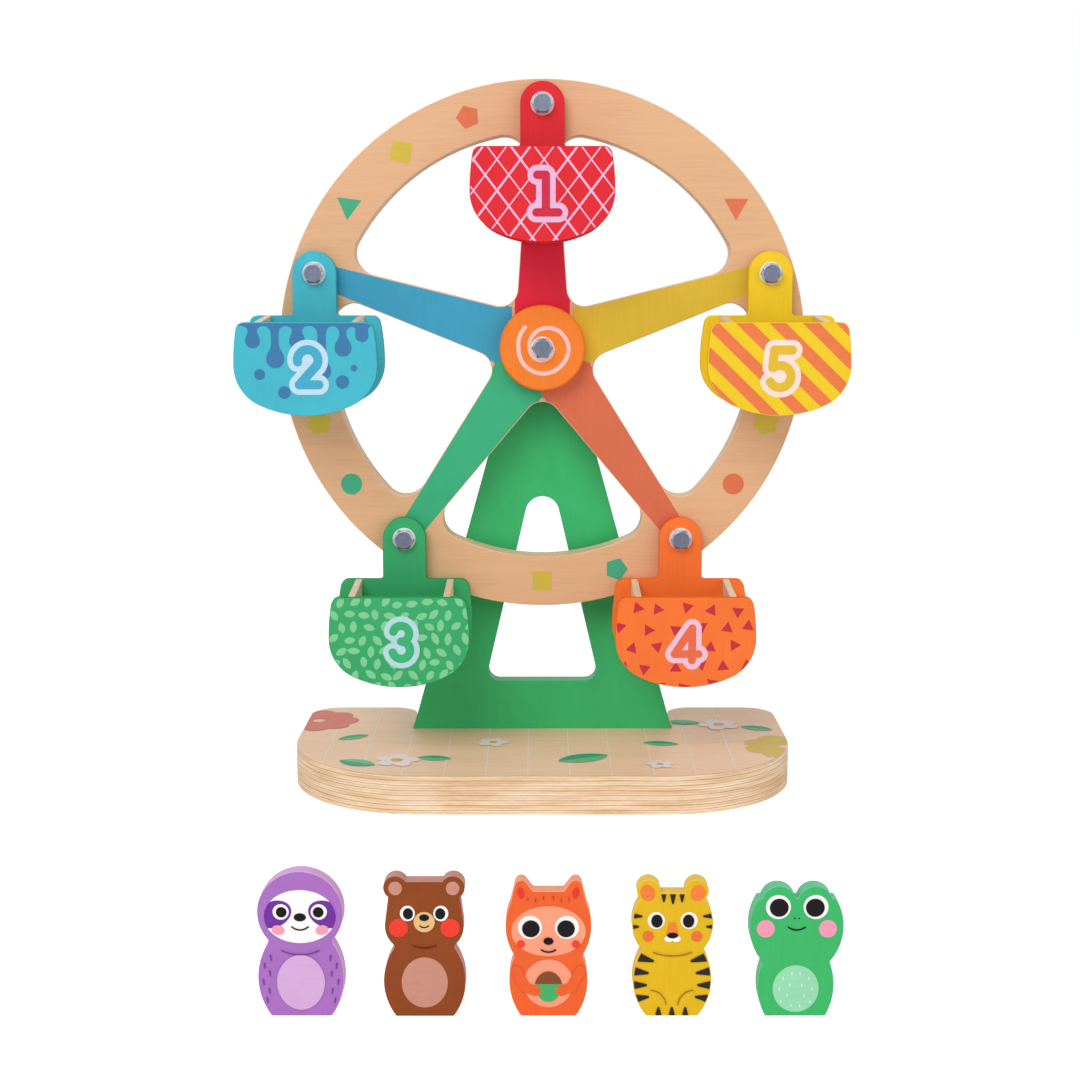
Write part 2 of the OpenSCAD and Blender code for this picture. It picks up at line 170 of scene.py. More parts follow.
def along(axis, fine, coarse):
    """A noise scale that is coarse along one axis of the frame and fine across it."""
    return tuple(coarse if k == "XYZ".index(axis) else fine for k in range(3))


def ramp(tree, value, stops):
    """A colour ramp from a value, with its stops as pairs of a place and a colour."""
    out = tree.nodes.new("ShaderNodeValToRGB")
    items = out.color_ramp.elements
    while len(items) < len(stops):
        items.new(0.5)
    for item, (at, colour) in zip(items, stops):
        item.position = at
        item.color = colour
    tree.links.new(value, out.inputs["Fac"])
    return out.outputs["Color"]


def blend(tree, kind, factor, a, b):
    """Mixes two colours by a factor. Each of the three is a socket or a constant."""
    mix = tree.nodes.new("ShaderNodeMix")
    mix.data_type = "RGBA"
    mix.blend_type = kind
    for socket, value in ((mix.inputs[0], factor), (mix.inputs[6], a), (mix.inputs[7], b)):
        feed(tree, socket, value)
    return mix.outputs[2]


def bump(tree, shader, height, strength, distance):
    """Lets a height, of up to a distance in metres, tell in the shading."""
    out = tree.nodes.new("ShaderNodeBump")
    out.inputs["Strength"].default_value = strength
    out.inputs["Distance"].default_value = distance
    tree.links.new(height, out.inputs["Height"])
    tree.links.new(out.outputs["Normal"], shader.inputs["Normal"])


def veneer(name, code, axis, offset, contrast=1.0):
    """Birch veneer under a satin lacquer: long soft figure, fine pores and a slight gloss change."""
    mat, tree, shader = new_material(name)
    figure = stretched_noise(tree, along(axis, 170, 7), 5, 0.55, offset)
    pores = stretched_noise(tree, along(axis, 1700, 45), 3, 0.6, offset + 3)
    cloud = stretched_noise(tree, (14, 14, 14), 2, 0.5, offset + 7)
    low, high = 1 - 0.10 * contrast, 1 + 0.07 * contrast
    body = ramp(tree, figure, [(0.28, shade(code, low)), (0.72, shade(code, high))])
    dark = ramp(tree, pores, [(0.30, (0.72, 0.62, 0.52, 1)), (0.52, PLAIN)])
    tint = ramp(tree, cloud, [(0.3, (0.95, 0.93, 0.91, 1)), (0.7, PLAIN)])
    colour = blend(tree, "MULTIPLY", 0.55 * contrast, body, dark)
    feed(tree, shader.inputs["Base Color"], blend(tree, "MULTIPLY", 1.0, colour, tint))
    feed(tree, shader.inputs["Roughness"], span(tree, figure, 0.42, 0.56))
    bump(tree, shader, pores, 0.25, 0.00006)
    return mat


def ply_edge(name, axis, pitch, offset):
    """The sawn edge of plywood: pale plies parted by thin dark lines, layered along one axis of the frame."""
    mat, tree, shader = new_material(name)
    place = tree.nodes.new("ShaderNodeTexCoord")
    split = tree.nodes.new("ShaderNodeSeparateXYZ")
    tree.links.new(place.outputs["Object"], split.inputs["Vector"])
    waver = stretched_noise(tree, (45, 45, 45), 2, 0.5, offset)
    grain = stretched_noise(tree, along(axis, 260, 1600), 3, 0.6, offset + 2)
    patch = stretched_noise(tree, along(axis, 30, 420), 2, 0.5, offset + 5)
    level = calc(tree, "MULTIPLY_ADD", waver, 0.0007, split.outputs["XYZ".index(axis)])
    layer = calc(tree, "FRACT", calc(tree, "MULTIPLY", level, 1 / (pitch * MM)))
    body = ramp(tree, layer, [
        (0.0, rgb(EDGE_LINE)), (0.05, rgb(EDGE_LINE)), (0.11, rgb(EDGE_WOOD)), (0.46, rgb(EDGE_WOOD)),
        (0.52, shade(EDGE_WOOD, 0.74)), (0.60, shade(EDGE_WOOD, 0.97)), (0.94, rgb(EDGE_WOOD)),
        (1.0, rgb(EDGE_LINE))])
    fibre = ramp(tree, grain, [(0.25, (0.80, 0.72, 0.62, 1)), (0.6, PLAIN)])
    zone = ramp(tree, patch, [(0.32, (0.80, 0.66, 0.50, 1)), (0.5, (0.93, 0.85, 0.76, 1)), (0.66, PLAIN)])
    colour = blend(tree, "MULTIPLY", 0.55, body, fibre)
    feed(tree, shader.inputs["Base Color"], blend(tree, "MULTIPLY", 0.9, colour, zone))
    shader.inputs["Roughness"].default_value = 0.62
    bump(tree, shader, grain, 0.35, 0.00012)
    return mat


def paint(name, code, rough=0.42, satin=SATIN):
    """Satin paint on wood: a little cloudiness, the grain just telling through, and a painted highlight that
    lightens its sharp edges.
    """
    mat, tree, shader = new_material(name)
    cloud = stretched_noise(tree, (55, 55, 55), 3, 0.55)
    grain = stretched_noise(tree, along("Z", 900, 60), 3, 0.6, 2)
    body = ramp(tree, cloud, [(0.3, shade(code, 0.96)), (0.7, shade(code, 1.03))])
    lines = ramp(tree, grain, [(0.3, (0.93, 0.93, 0.93, 1)), (0.6, PLAIN)])
    colour = blend(tree, "MULTIPLY", 0.7, body, lines)
    # Painted highlight: the colour turns lighter where edges are sharp, standing in for light caught on the
    # rounding
    geometry = tree.nodes.new("ShaderNodeNewGeometry")
    edge_highlight = span(tree, geometry.outputs["Pointiness"], 0, 0.24, 0.52, 0.62)
    feed(tree, shader.inputs["Base Color"], blend(tree, "MIX", edge_highlight, colour, shade(code, 1.35)))
    feed(tree, shader.inputs["Roughness"], span(tree, cloud, rough - 0.05, rough + 0.07))
    shader.inputs["Specular IOR Level"].default_value = satin
    bump(tree, shader, grain, 0.3, 0.00004)
    return mat


def coats(name, code):
    """The two coats of a painted piece: satin on its faces, and matt on its edges, where the paint soaks in."""
    return [paint(name, code), paint(name + "_edge", code, satin=0)]


def ink(name, code):
    """A printed ink: nearly even, with the wood's pores telling through it."""
    mat, tree, shader = new_material(name)
    cloud = stretched_noise(tree, (120, 120, 120), 2, 0.5)
    pores = stretched_noise(tree, along("X", 1300, 90), 3, 0.6, 4)
    body = ramp(tree, cloud, [(0.3, shade(code, 0.97)), (0.7, shade(code, 1.02))])
    lines = ramp(tree, pores, [(0.28, (0.90, 0.88, 0.86, 1)), (0.55, PLAIN)])
    feed(tree, shader.inputs["Base Color"], blend(tree, "MULTIPLY", 0.5, body, lines))
    shader.inputs["Roughness"].default_value = 0.48
    shader.inputs["Specular IOR Level"].default_value = SATIN
    bump(tree, shader, pores, 0.15, 0.00003)
    return mat


INKS = {}


def ink_of(code):
    """The ink of a colour, made once."""
    if code not in INKS:
        INKS[code] = ink("ink_" + code, code)
    return INKS[code]


def plated_steel(name, code, rough, metallic=1, dull=0.72):
    """Zinc plated steel: bright, faintly mottled down to its dull share, with fine turning marks."""
    mat, tree, shader = new_material(name)
    mottle = stretched_noise(tree, (900, 900, 900), 4, 0.6)
    marks = stretched_noise(tree, (5200, 1600, 5200), 2, 0.5, 3)
    body = ramp(tree, mottle, [(0.3, shade(code, dull)), (0.7, shade(code, 1.04))])
    feed(tree, shader.inputs["Base Color"], body)
    shader.inputs["Metallic"].default_value = metallic
    feed(tree, shader.inputs["Roughness"], span(tree, mottle, rough - 0.06, rough + 0.14))
    bump(tree, shader, marks, 0.25, 0.00002)
    return mat


# Solid pieces

# Metres within which points of a CAD mesh are one
WELD = 2e-6
# The angles up to which faces are joined, from which edges are rounded, and from which shading stays sharp
JOIN_ANGLE, ROUND_ANGLE, SHARP_ANGLE = [math.radians(angle) for angle in (0.4, 40, 32)]
EASE_SEGMENTS = 3
# The least share of an axis in the normal of a face that counts as across it
ACROSS = 0.95
# The least share of a solid's thickness in a wall that counts as going through it
WHOLE = 0.99
FACE_WEIGHT = 90


def welded(node):
    """A CAD node's mesh with its doubled points joined."""
    bm = bmesh.new()
    bm.from_mesh(frame["nodes"][node].data)
    bmesh.ops.remove_doubles(bm, verts=bm.verts, dist=WELD)
    return bm


def extent(verts, way):
    """How far points reach along an axis."""
    return max(v.co[way] for v in verts) - min(v.co[way] for v in verts)


def link(name, mesh, body, slot):
    """Puts a mesh into the scene as a piece that rides on a body."""
    piece = bpy.data.objects.new(name, mesh)
    bpy.context.scene.collection.objects.link(piece)
    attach(piece, body)
    return piece


def eased(node, body, slot, ease, axis, mats, through=False):
    """The CAD solid with rounded edges. The first material goes on the faces across the axis, and the second on
    what is between. With through, only edges on walls that go through the whole thickness are rounded, so that
    grooves keep theirs sharp."""
    bm = welded(node)
    bmesh.ops.dissolve_limit(bm, angle_limit=JOIN_ANGLE, verts=bm.verts, edges=bm.edges)
    way = "XYZ".index(axis)
    thick = extent(bm.verts, way)

    def rounded(edge):
        if len(edge.link_faces) != 2 or edge.calc_face_angle() < ROUND_ANGLE:
            return False
        return not through or max(extent(f.verts, way) for f in edge.link_faces) > WHOLE * thick
    sharp = [e for e in bm.edges if rounded(e)]
    bmesh.ops.bevel(bm, geom=sharp, offset=ease * MM, segments=EASE_SEGMENTS, profile=0.5, affect="EDGES",
                    clamp_overlap=True)
    bm.normal_update()
    for face in bm.faces:
        face.material_index = 1 if abs(face.normal[way]) < ACROSS else 0
    mesh = bpy.data.meshes.new("eased_" + node)
    bm.to_mesh(mesh)
    bm.free()
    for mat in mats:
        mesh.materials.append(mat)
    mesh.shade_smooth()
    mesh.set_sharp_from_angle(angle=SHARP_ANGLE)
    piece = link("eased_" + node, mesh, body, slot)
    flat = piece.modifiers.new("flat_faces", "WEIGHTED_NORMAL")
    flat.keep_sharp = True
    flat.weight = FACE_WEIGHT
    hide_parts(node)
    return piece


def keep(node, mat):
    """Keeps a CAD node's own mesh and gives it a material."""
    mesh = frame["nodes"][node].data
    mesh.materials.clear()
    mesh.materials.append(mat)


# Flat shapes as distance fields: each takes grids of x and z and is negative inside. Angles are in degrees

FAR = 1e9


def cos_sin(turn):
    return math.cos(math.radians(turn)), math.sin(math.radians(turn))


def around(x0, z0, r, turns):
    """Points on a circle at some angles."""
    return [(x0 + r * c, z0 + r * s) for c, s in map(cos_sin, turns)]


def arc(x0, z0, r, a0, a1, count=24):
    """Points on a circle from one angle to another."""
    return around(x0, z0, r, [a0 + (a1 - a0) * k / count for k in range(count + 1)])


def off_line(x, z, a, b):
    """How far grid points are from the straight line between two points."""
    (ax, az), (bx, bz) = a, b
    dx, dz = bx - ax, bz - az
    t = np.clip(((x - ax) * dx + (z - az) * dz) / max(dx * dx + dz * dz, 1e-9), 0, 1)
    return np.hypot(x - ax - t * dx, z - az - t * dz)


def disc(x0, z0, r):
    return lambda x, z: np.hypot(x - x0, z - z0) - r


def oval(x0, z0, rx, rz, turn=0.0):
    c, s = cos_sin(turn)

    def field(x, z):
        u, v = (x - x0) * c + (z - z0) * s, (z - z0) * c - (x - x0) * s
        return (np.hypot(u / rx, v / rz) - 1) * min(rx, rz)
    return field


def stroke(points, width):
    """A line of round-ended strokes through points."""
    def field(x, z):
        best = np.full(np.shape(x), FAR)
        for a, b in zip(points, points[1:]):
            best = np.minimum(best, off_line(x, z, a, b))
        return best - width / 2
    return field


def outline(points):
    """The area inside a closed row of points."""
    def field(x, z):
        best = np.full(np.shape(x), FAR)
        inside = np.zeros(np.shape(x), bool)
        for (ax, az), (bx, bz) in zip(points, points[1:] + points[:1]):
            best = np.minimum(best, off_line(x, z, (ax, az), (bx, bz)))
            if az != bz:
                inside ^= ((az > z) != (bz > z)) & (x < ax + (z - az) * (bx - ax) / (bz - az))
        return np.where(inside, -best, best)
    return field


def regular(x0, z0, r, sides, turn):
    """A regular polygon with a corner at an angle."""
    return outline(around(x0, z0, r, [turn + 360 * k / sides for k in range(sides)]))


def band(x0, z0, turn, width):
    """An endless straight band through a point."""
    c, s = cos_sin(turn)
    return lambda x, z: np.abs((z - z0) * c - (x - x0) * s) - width / 2


def beyond(x0, z0, turn):
    """Everything on the left of a line through a point."""
    c, s = cos_sin(turn)
    return lambda x, z: (x - x0) * s - (z - z0) * c


def either(*fields):
    return lambda x, z: np.minimum.reduce([f(x, z) for f in fields])


def both(*fields):
    return lambda x, z: np.maximum.reduce([f(x, z) for f in fields])


def without(a, b):
    return lambda x, z: np.maximum(a(x, z), -b(x, z))


def grown(f, by):
    return lambda x, z: f(x, z) - by


def moved(f, x0, z0):
    return lambda x, z: f(x - x0, z - z0)


def mirrored(f):
    """A shape and its mirror image on the other side of x = 0."""
    return lambda x, z: np.minimum(f(x, z), f(-x, z))


def melted(soft, *fields):
    """Joins fields as drops of liquid join, with a fillet between them."""
    def field(x, z):
        best = fields[0](x, z)
        for f in fields[1:]:
            other = f(x, z)
            h = np.clip(0.5 + (best - other) / 2 / soft, 0, 1)
            best = best * (1 - h) + other * h - soft * h * (1 - h)
        return best
    return field


def lens(x0, z0, length, width, turn):
    """A leaf shape: what two circles share."""
    r = (length ** 2 + width ** 2) / 4 / width
    off = r - width / 2
    c, s = cos_sin(turn)
    return both(disc(x0 - s * off, z0 + c * off, r), disc(x0 + s * off, z0 - c * off, r))


# Prints: a distance field becomes closed loops, and the loops a thin slab of ink

# For each way that the corners of a grid cell can be inside, the sides where a loop enters and leaves the cell
CELL_SIDES = {1: [(0, 3)], 2: [(1, 0)], 3: [(1, 3)], 4: [(2, 1)], 5: [(0, 3), (2, 1)], 6: [(2, 0)], 7: [(2, 3)],
              8: [(3, 2)], 9: [(0, 2)], 10: [(1, 0), (3, 2)], 11: [(1, 2)], 12: [(3, 1)], 13: [(0, 1)],
              14: [(3, 0)]}
# Metres within which points of a print are one
PRINT_WELD = 1e-6
# Millimetres within which a point of a CAD mesh is on a face
FACE_TOL = 0.01


def contours(field, box, step):
    """The closed loops where a field is zero, by marching squares over a box (x0, z0, x1, z1)."""
    xs = np.arange(box[0] - step, box[2] + 2 * step, step)
    zs = np.arange(box[1] - step, box[3] + 2 * step, step)
    values = field(*np.meshgrid(xs, zs))
    values[[0, -1], :] = values[:, [0, -1]] = step
    values[values == 0] = step * 1e-4
    inside = values < 0
    case = inside[:-1, :-1] + 2 * inside[:-1, 1:] + 4 * inside[1:, 1:] + 8 * inside[1:, :-1]
    follow = {}
    for j, i in zip(*np.nonzero((case > 0) & (case < 15))):
        sides = [(0, j, i), (1, j, i + 1), (0, j + 1, i), (1, j, i)]
        for a, b in CELL_SIDES[int(case[j, i])]:
            follow[sides[a]] = sides[b]

    def crossing(side):
        upright, j, i = side
        j2, i2 = (j + 1, i) if upright else (j, i + 1)
        t = values[j, i] / (values[j, i] - values[j2, i2])
        return xs[i] + t * (xs[i2] - xs[i]), zs[j] + t * (zs[j2] - zs[j])
    loops = []
    while follow:
        at = next(iter(follow))
        loop = []
        while at in follow:
            loop.append(crossing(at))
            at = follow.pop(at)
        loops.append(loop)
    return [thinned(loop) for loop in loops if len(loop) > 3]


def thinned(loop):
    """Leaves out the points of a loop that lie on the line between their neighbours."""
    points = np.array(loop)
    far = int(np.argmax(np.hypot(*(points - points[0]).T)))
    needed = {0, far}
    stack = [(0, far), (far, len(points))]
    while stack:
        a, b = stack.pop()
        if b - a < 2:
            continue
        d = points[b % len(points)] - points[a]
        length = np.hypot(*d)
        rel = points[a + 1:b] - points[a]
        off = np.abs(rel[:, 0] * d[1] - rel[:, 1] * d[0]) / length if length > 1e-9 else np.hypot(*rel.T)
        k = int(np.argmax(off))
        if off[k] > INK_TOL:
            needed.add(a + 1 + k)
            stack += [(a, a + 1 + k), (a + 1 + k, b)]
    return [tuple(points[k]) for k in sorted(needed)]


def slab(name, loops):
    """A layer of ink as a closed solid from flat loops, on the XY plane and rising from it."""
    curve = bpy.data.curves.new(name, "CURVE")
    curve.dimensions = "2D"
    curve.fill_mode = "BOTH"
    curve.extrude = INK * MM / 2
    for loop in loops:
        spline = curve.splines.new("POLY")
        spline.points.add(len(loop) - 1)
        for point, (x, z) in zip(spline.points, loop):
            point.co = (x * MM, z * MM, 0, 1)
        spline.use_cyclic_u = True
    holder = bpy.data.objects.new(name, curve)
    bpy.context.scene.collection.objects.link(holder)
    mesh = bpy.data.meshes.new_from_object(holder.evaluated_get(bpy.context.evaluated_depsgraph_get()))
    bpy.data.objects.remove(holder)
    bpy.data.curves.remove(curve)
    bm = bmesh.new()
    bm.from_mesh(mesh)
    bmesh.ops.remove_doubles(bm, verts=bm.verts, dist=PRINT_WELD)
    for vert in bm.verts:
        vert.co.z += INK * MM / 2
    return bm, mesh


def print_on(name, field, box, body, slot, mat, place, layer=1, step=INK_STEP):
    """Prints a field as ink. Place turns a flat point and a height above the surface into the frame."""
    bm, mesh = slab(name, contours(field, box, step))
    for vert in bm.verts:
        x, z, rise = vert.co / MM
        vert.co = Vector(place(x, z, rise + (layer - 1) * INK)) * MM
    bmesh.ops.recalc_face_normals(bm, faces=bm.faces)
    bm.to_mesh(mesh)
    bm.free()
    mesh.materials.clear()
    mesh.materials.append(mat)
    link(name, mesh, body, slot)


def print_layers(prefix, layers, face, box, body, slot, place, step=INK_STEP):
    """Prints layers, each a tag, a field and a colour, over each other and within a face."""
    for layer, (tag, field, code) in enumerate(layers, 1):
        print_on(prefix + tag, both(field, face), box, body, slot, ink_of(code), place, layer, step)


def on_front(y, x0=0.0, z0=0.0):
    """Places a print on an upright face that looks towards the viewer."""
    return lambda x, z, rise: (x + x0, y - rise, z + z0)


def on_top(z):
    """Places a print on a level face that looks up."""
    return lambda x, y, rise: (x, y, z + rise)


def face_loops(node, axis, level):
    """The outlines, in millimetres, of a CAD solid's flat face at a level along an axis."""
    bm = welded(node)
    way = "XYZ".index(axis)
    flat = [k for k in range(3) if k != way]
    on_face = {f for f in bm.faces if all(abs(v.co[way] / MM - level) < FACE_TOL for v in f.verts)}
    follow = {}
    for edge in bm.edges:
        if sum(f in on_face for f in edge.link_faces) == 1:
            for a, b in (edge.verts, reversed(edge.verts)):
                follow.setdefault(a.index, []).append(b.index)
    bm.verts.ensure_lookup_table()
    loops = []
    while follow:
        at = next(iter(follow))
        ring = []
        before = None
        while at in follow:
            ring.append(at)
            near = [k for k in follow.pop(at) if k != before and k in follow]
            before, at = at, (near[0] if near else None)
        loops.append([tuple(bm.verts[k].co[w] / MM for w in flat) for k in ring])
    bm.free()
    return loops


def face_field(loops):
    """The area of a face: inside its outlines, counted even and odd, so that holes are left out."""
    fields = [outline(loop) for loop in loops]

    def field(x, z):
        parts = [f(x, z) for f in fields]
        inside = np.logical_xor.reduce([p < 0 for p in parts])
        best = np.minimum.reduce([np.abs(p) for p in parts])
        return np.where(inside, -best, best)
    return field


def kept(f):
    """Keeps a slow field's values for the next print on the same grid."""
    known = {}

    def field(x, z):
        grid = (x.shape, x[0, 0], z[0, 0], x[-1, -1], z[-1, -1])
        if grid not in known:
            known[grid] = f(x, z)
        return known[grid]
    return field


# Stage, light and camera, in metres

FLOOR_HALF, FLOOR_LIFT = 6, 0.6
AMBIENT = 0.5
# Each lamp: its name, place, size and watts
LAMPS = [("key", (-0.55, -1.35, 1.25), 1.1, 15), ("fill", (1.1, -1.2, 0.5), 1.0, 4)]
# The camera as it was solved from the wheel's circle, the bolts and the base's printed grid
FRAME_PX, FOCAL_PX, CENTRE_PX = 1080, 1700, (542.0, 513.7)
CAMERA_PLACE, CAMERA_DIP = (-0.0002, -0.8464, (AXLE_Z + 30.6) * MM), 0.13368
SENSOR = 36


def make_stage():
    """A white floor that is lifted for the camera alone, so that it meets the white behind it."""
    mesh = bpy.data.meshes.new("floor")
    ends = ((-1, -1), (1, -1), (1, 1), (-1, 1))
    mesh.from_pydata([(FLOOR_HALF * x, FLOOR_HALF * y, 0) for x, y in ends], [], [(0, 1, 2, 3)])
    floor = bpy.data.objects.new("floor", mesh)
    bpy.context.scene.collection.objects.link(floor)
    mat, tree, shader = new_material("floor_white")
    for name, value in (("Base Color", (0.93, 0.93, 0.93, 1)), ("Roughness", 0.9), ("Specular IOR Level", 0.1),
                        ("Emission Color", PLAIN)):
        shader.inputs[name].default_value = value
    path = tree.nodes.new("ShaderNodeLightPath")
    lift = calc(tree, "MULTIPLY", path.outputs["Is Camera Ray"], FLOOR_LIFT)
    feed(tree, shader.inputs["Emission Strength"], lift)
    mesh.materials.append(mat)


def make_world():
    """An even white room, at full strength where it is seen or mirrored."""
    world = bpy.data.worlds.new("studio")
    world.use_nodes = True
    bpy.context.scene.world = world
    tree = world.node_tree
    sky = tree.nodes["Background"]
    sky.inputs["Color"].default_value = PLAIN
    path = tree.nodes.new("ShaderNodeLightPath")
    seen = path.outputs["Is Camera Ray"]
    for ray in ("Is Glossy Ray", "Is Transmission Ray"):
        seen = calc(tree, "MAXIMUM", seen, path.outputs[ray])
    feed(tree, sky.inputs["Strength"], span(tree, seen, AMBIENT, 1))
    bpy.context.scene.view_settings.view_transform = "Standard"


def make_lamps():
    """Lamps that aim at the axle."""
    for name, place, size, watts in LAMPS:
        lamp = bpy.data.lights.new(name, "AREA")
        lamp.size = size
        lamp.energy = watts
        holder = bpy.data.objects.new(name, lamp)
        holder.location = place
        aim = Vector((0, 0, AXLE_Z * MM)) - Vector(place)
        holder.rotation_euler = aim.to_track_quat("-Z", "Y").to_euler()
        bpy.context.scene.collection.objects.link(holder)


def make_camera():
    camera = bpy.data.cameras.new("camera")
    camera.sensor_width = SENSOR
    camera.lens = FOCAL_PX / FRAME_PX * SENSOR
    camera.shift_x = (FRAME_PX / 2 - CENTRE_PX[0]) / FRAME_PX
    camera.shift_y = (CENTRE_PX[1] - FRAME_PX / 2) / FRAME_PX
    camera.clip_start, camera.clip_end = 0.01, 50
    holder = bpy.data.objects.new("camera", camera)
    holder.location = CAMERA_PLACE
    holder.rotation_euler = (math.pi / 2 - CAMERA_DIP, 0, 0)
    bpy.context.scene.collection.objects.link(holder)
    bpy.context.scene.camera = holder


# Wood, paint and steel

# The pitch of the plies
WHEEL_PLY, BASE_PLY = 2.15, 2.4
RIM_VENEER = veneer("rim_veneer", RIM_WOOD, "X", 0, 0.5)
BASE_VENEER = veneer("base_veneer", BASE_WOOD, "X", 4, 0.5)
BARE = veneer("bare_slat", SLAT_WOOD, "Y", 9)
WHEEL_EDGE = ply_edge("wheel_edge", "Y", WHEEL_PLY, 0)
BASE_EDGE = ply_edge("base_edge", "Z", BASE_PLY, 3)
STEEL = plated_steel("zinc_plate", "F0F1F4", 0.14)
# Lit and shaded copies of the same zinc: dark grey as a painted dark reflection on flats, paler grey as a painted
# reflection on bevels, and near white as a painted highlight on flanges
STEEL_PAINTED_DARK_REFLECTION = plated_steel("zinc_face_painted_reflection", "80869A", 0.3)
STEEL_BEVEL_PAINTED_REFLECTION = plated_steel("zinc_bevel_painted_reflection", "C4C9D2", 0.2)
STEEL_FLANGE_PAINTED_HIGHLIGHT = plated_steel("zinc_flange_painted_highlight", "F2F6FF", 0.2, 0.05, 0.95)
STAND_GREEN = [paint("stand_green", STAND_PAINT)] * 2
HUB_ORANGE = coats("hub_orange", HUB_PAINT)
BASKET_COATS = [coats("basket_paint_%d" % i, code) for i, code in enumerate(BASKET_PAINT, 1)]
SPOKE_COATS = [paint("spoke_paint_%d" % i, code) for i, code in enumerate(SPOKE_PAINT, 1)]

# The least share of the bolt's axis in the normal of a bevel. A flange has less
BEVEL_FROM = 0.6


def make_bolts(node, body):
    """Bolts of one zinc whose heads have a grey flat, a paler bevel round it and a bright flange: the grey and the
    pale are painted reflections, and the bright flange is a painted highlight.
    """
    mesh = eased(node, body, "zinc_steel", BOLT_EASE, "Y", [STEEL_PAINTED_DARK_REFLECTION, STEEL_FLANGE_PAINTED_HIGHLIGHT]).data
    mesh.materials.append(STEEL_BEVEL_PAINTED_REFLECTION)
    for face in mesh.polygons:
        if BEVEL_FROM < abs(face.normal.y) < ACROSS:
            face.material_index = 2


def make_frame():
    eased("base_plate", "base", "birch_plywood", EASE, "Z", [BASE_VENEER, BASE_EDGE])
    eased("stand_panel", "base", "stand_green", EASE, "Y", STAND_GREEN)
    eased("wheel", "wheel", "birch_plywood", WHEEL_EASE, "Y", [RIM_VENEER, WHEEL_EDGE])
    eased("hub_cap", "wheel", "hub_orange", THIN_EASE, "Y", HUB_ORANGE)
    make_bolts("axle_bolt", "base")
    make_bolts("pivot_bolts", "wheel")
    # The flats of the nut, washer, bush and screws also take the painted dark reflection
    for node in ("axle_nut", "axle_washer", "axle_bush", "stand_screws"):
        eased(node, "base", "zinc_steel", BOLT_EASE, "Y", [STEEL_PAINTED_DARK_REFLECTION, STEEL])
    eased("pivot_tee_nuts", "wheel", "zinc_steel", BOLT_EASE, "Y", [STEEL_PAINTED_DARK_REFLECTION, STEEL])
    for i in BASKETS:
        keep("pivot_washer_%d" % i, STEEL)


def make_basket(i):
    body, slot = "gondola_%d" % i, frame_slot("gondola_%d_front" % i)
    for part in ("back", "front"):
        eased("%s_%s" % (body, part), body, slot, THIN_EASE, "Y", BASKET_COATS[i - 1], through=True)
    for part in ("left_slat", "right_slat", "floor"):
        eased("%s_%s" % (body, part), body, "bare_wood", THIN_EASE, "Y", [BARE, BARE])


# Patterns of the baskets, about the middle of a front panel's top edge

LATTICE_PITCH, LATTICE_SHIFT, LATTICE_Z, LATTICE_TURN = 10.95, 0.8, -6.1, 52.56
LATTICE_THIN, LATTICE_THICK = 0.65, 1.0
STRIPE_PITCH, STRIPE_SHIFT, STRIPE_W, STRIPE_TURN = 15.7, -1.7, 5.5, -44
# Each drip: its place, length, half width and the radius of its end, and each drop: its place and radius
DRIPS = [(-24.5, 12, 1.5, 3.3), (-14, 21.5, 1.8, 4.2), (-3.5, 12.5, 1.7, 3.6), (8, 27, 2.0, 4.1),
         (18, 16, 1.6, 3.9), (27, 9, 1.3, 2.7)]
DROPS = [(-21.5, -24.5, 2.6), (-10, -33, 3.0), (17.5, -28, 3.2), (23, -21.5, 1.6)]
# How deep the drips' pool is, how far they rise above the edge, and how softly they join their ends and the pool
POOL_DEPTH, DRIP_RISE, DRIP_SOFT, POOL_SOFT = 1.6, 2, 3.5, 4.5
# Loose grids: columns to each side, rows, pitch across and down, first row, and how far a place may stray
LEAF_GRID = (5, 8, 7.0, 5.9, -2.6, 1, 0.9)
LEAF_LENGTH, LEAF_W = (5.0, 6.6), 3.3
TRIANGLE_GRID = (3, 5, 12.3, 9.4, -5.5, 1.5, 1.2)
TRIANGLE_R = 3.35


def lattice():
    lines = []
    for k in range(-6, 7):
        width = LATTICE_THICK if k % 2 else LATTICE_THIN
        for turn in (LATTICE_TURN, -LATTICE_TURN):
            lines.append(band(LATTICE_SHIFT + LATTICE_PITCH * k, LATTICE_Z, turn, width))
    return either(*lines)


def drips():
    runs = [melted(DRIP_SOFT, stroke([(x, DRIP_RISE), (x, bulb - length)], 2 * neck), disc(x, bulb - length, bulb))
            for x, length, neck, bulb in DRIPS]
    return either(melted(POOL_SOFT, beyond(0, -POOL_DEPTH, 0), *runs), *[disc(x, z, r) for x, z, r in DROPS])


def loose_grid(pick, columns, rows, across, down, first, stray_x, stray_z):
    """Places on a grid whose odd rows are set off by half, each a little astray."""
    for row in range(rows):
        for column in range(-columns, columns + 1):
            x = across * (column + 0.5 * (row % 2)) + pick.uniform(-stray_x, stray_x)
            yield x, first - down * row + pick.uniform(-stray_z, stray_z)


def leaf_scatter():
    pick = random.Random(11)
    leaves = []
    for x, z in loose_grid(pick, *LEAF_GRID):
        turn, length = pick.uniform(0, 360), pick.uniform(*LEAF_LENGTH)
        leaves.append(lens(x, z, length, LEAF_W, turn))
    return either(*leaves)


def triangle_scatter():
    pick = random.Random(5)
    places = loose_grid(pick, *TRIANGLE_GRID)
    return either(*[regular(x, z, TRIANGLE_R, 3, pick.uniform(0, 120)) for x, z in places])


def stripes():
    return either(*[band(STRIPE_PITCH * k + STRIPE_SHIFT, 0, STRIPE_TURN, STRIPE_W) for k in range(-4, 5)])


PATTERNS = [(lattice(), "F2B8D8"), (drips(), "3C7AAA"), (leaf_scatter(), "82D095"), (triangle_scatter(), "C93040"),
            (stripes(), "EC7C48")]

# The pale edge of a number, and the disc that fills what it leaves open: how far below the middle, and its radius
HALO_W, FILL_DROP, FILL_R = 2.6, 3.8, 3
